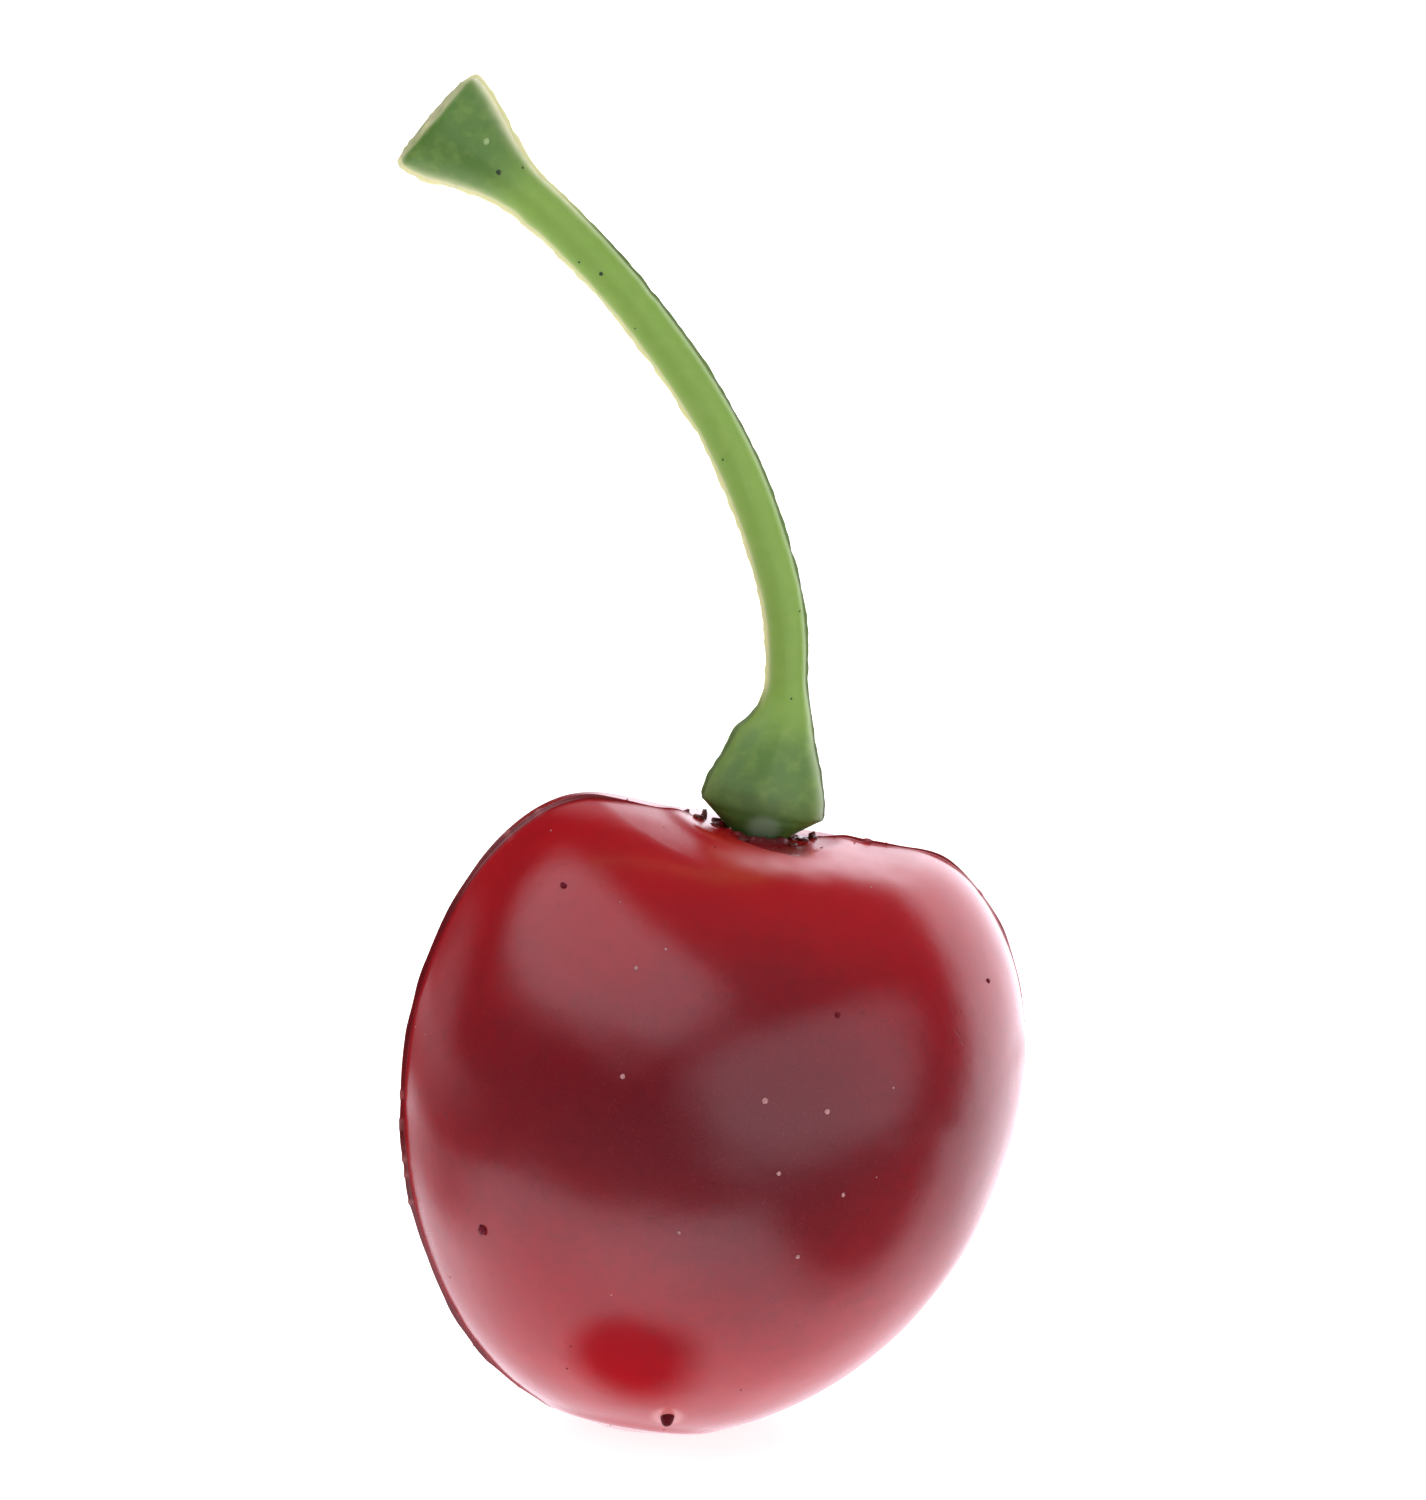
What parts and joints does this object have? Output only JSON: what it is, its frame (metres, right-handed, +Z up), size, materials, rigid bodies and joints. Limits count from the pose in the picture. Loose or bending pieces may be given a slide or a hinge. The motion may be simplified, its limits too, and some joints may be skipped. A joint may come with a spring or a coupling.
{
  "type": "imitation cherry on a stalk",
  "caption": "Imitation cherry: a glossy moulded heart-shaped fruit on a small flat spot, with a bent green moulded stalk whose plug stands in a plain hole in its top.",
  "frame": {"origin": "middle of the flat spot that the fruit rests on", "axes": "+Z up along the cherry's longest extent, with the fruit's shoulders along X and the stalk bent towards -X"},
  "size_m": [0.0252, 0.0236, 0.0542],
  "materials": {
    "fruit_skin": "satin gloss, airbrushed",
    "stalk_green": "satin, slightly translucent"
  },
  "bodies": {
    "root": {"fruit": "fruit_skin", "stalk": "stalk_green"}
  },
  "joints": []
}
